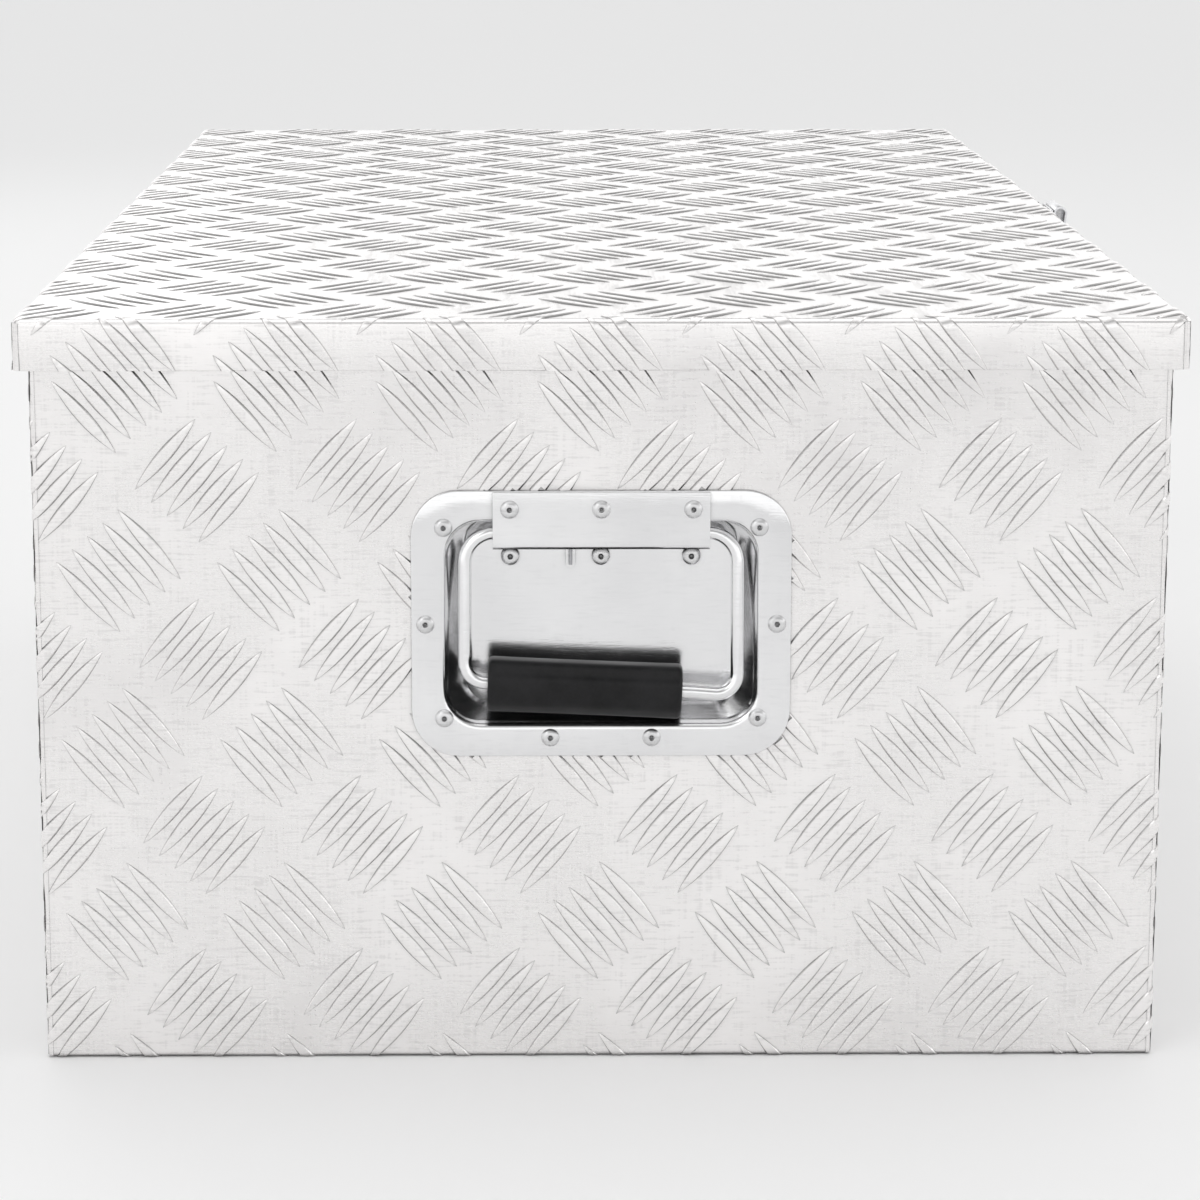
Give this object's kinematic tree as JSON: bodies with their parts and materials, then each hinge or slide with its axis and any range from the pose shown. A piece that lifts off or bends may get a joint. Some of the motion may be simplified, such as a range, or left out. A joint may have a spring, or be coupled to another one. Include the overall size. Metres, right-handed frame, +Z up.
{
  "type": "truck tool box",
  "caption": "Long rectangular truck-bed tool box of ribbed aluminium tread plate, with a hinged lid, a front draw latch and sprung recessed lift handles in both ends.",
  "frame": {"origin": "middle of the box's flat underside", "axes": "+X to the front, where the latch is; -X to the hinge side; Y along the box's length; +Z up. Azimuth 0 looks at the -Y end."},
  "size_m": [0.523, 0.9144, 0.33],
  "materials": {
    "tread_plate": "bright tread plate, brushed between the raised bars",
    "bright_steel": "bright pressed steel",
    "handle_steel": "bright drawn steel, lightly scuffed",
    "rivet_alloy": "satin blind rivets",
    "spring_steel": "oiled spring wire",
    "grip_plastic": "moulded black grip, faintly glossy on its edges",
    "seal_foam": "closed-cell foam strip"
  },
  "bodies": {
    "box": {"bottom_panel": "tread_plate", "front_panel": "tread_plate", "back_panel": "tread_plate", "end_panel_near": "tread_plate", "end_panel_far": "tread_plate", "hinge_leaf_body": "bright_steel", "hinge_pin": "bright_steel", "latch_base": "bright_steel", "latch_pivot_near": "bright_steel", "latch_pivot_far": "bright_steel", "stay_post_near": "bright_steel", "stay_post_far": "bright_steel", "handle_dish_near": "handle_steel", "handle_strap_near": "handle_steel", "handle_spring_near": "spring_steel", "rivet_near_01": "rivet_alloy", "rivet_near_02": "rivet_alloy", "rivet_near_03": "rivet_alloy", "rivet_near_04": "rivet_alloy", "rivet_near_05": "rivet_alloy", "rivet_near_06": "rivet_alloy", "rivet_near_07": "rivet_alloy", "rivet_near_08": "rivet_alloy", "rivet_near_09": "rivet_alloy", "rivet_near_10": "rivet_alloy", "rivet_near_11": "rivet_alloy", "handle_dish_far": "handle_steel", "handle_strap_far": "handle_steel", "handle_spring_far": "spring_steel", "rivet_far_01": "rivet_alloy", "rivet_far_02": "rivet_alloy", "rivet_far_03": "rivet_alloy", "rivet_far_04": "rivet_alloy", "rivet_far_05": "rivet_alloy", "rivet_far_06": "rivet_alloy", "rivet_far_07": "rivet_alloy", "rivet_far_08": "rivet_alloy", "rivet_far_09": "rivet_alloy", "rivet_far_10": "rivet_alloy", "rivet_far_11": "rivet_alloy"},
    "lid": {"lid_shell": "tread_plate", "lid_seal": "seal_foam", "hinge_leaf_lid": "bright_steel", "latch_keeper": "bright_steel", "rivet_keeper_1": "rivet_alloy", "rivet_keeper_2": "rivet_alloy", "stay_bracket_near": "bright_steel", "stay_rivet_near": "bright_steel", "stay_bracket_far": "bright_steel", "stay_rivet_far": "bright_steel"},
    "latch_lever": {"latch_lever": "bright_steel", "latch_link_pin": "bright_steel"},
    "latch_claw": {"latch_claw": "bright_steel"},
    "stay_near": {"stay_arm_near": "bright_steel"},
    "bail_near": {"handle_bail_near": "handle_steel", "handle_grip_near": "grip_plastic"},
    "stay_far": {"stay_arm_far": "bright_steel"},
    "bail_far": {"handle_bail_far": "handle_steel", "handle_grip_far": "grip_plastic"}
  },
  "joints": [
    {"name": "lid_hinge", "type": "hinge", "parent": "box", "child": "lid", "pos_m": [-0.2471, 0, 0.3045], "axis": [0, -1, 0], "range_deg": [0, 95]},
    {"name": "stay_swing_near", "type": "hinge", "parent": "lid", "child": "stay_near", "pos_m": [-0.11738, -0.424, 0.296], "axis": [0, -1, 0], "range_deg": [-47.5, 0]},
    {"name": "handle_swing_near", "type": "hinge", "parent": "box", "child": "bail_near", "pos_m": [0, -0.4392, 0.2356], "axis": [-1, 0, 0], "range_deg": [0, 85], "stiffness_Nm_per_rad": 0.15, "springref_deg": -28.65},
    {"name": "stay_swing_far", "type": "hinge", "parent": "lid", "child": "stay_far", "pos_m": [-0.11738, 0.424, 0.296], "axis": [0, -1, 0], "range_deg": [-47.5, 0]},
    {"name": "handle_swing_far", "type": "hinge", "parent": "box", "child": "bail_far", "pos_m": [0, 0.4392, 0.2356], "axis": [1, 0, 0], "range_deg": [0, 85], "stiffness_Nm_per_rad": 0.15, "springref_deg": -28.65},
    {"name": "latch_lever_swing", "type": "hinge", "parent": "box", "child": "latch_lever", "pos_m": [0.252, 0, 0.262], "axis": [0, -1, 0], "range_deg": [0, 110]},
    {"name": "latch_claw_swing", "type": "hinge", "parent": "latch_lever", "child": "latch_claw", "pos_m": [0.2515, 0, 0.249], "axis": [0, -1, 0], "range_deg": [-110, 0]}
  ],
  "couplings": [
    {"joint": "stay_swing_near", "follows": "lid_hinge", "ratio": -0.5},
    {"joint": "stay_swing_far", "follows": "lid_hinge", "ratio": -0.5},
    {"joint": "latch_claw_swing", "follows": "latch_lever_swing", "ratio": -1}
  ]
}
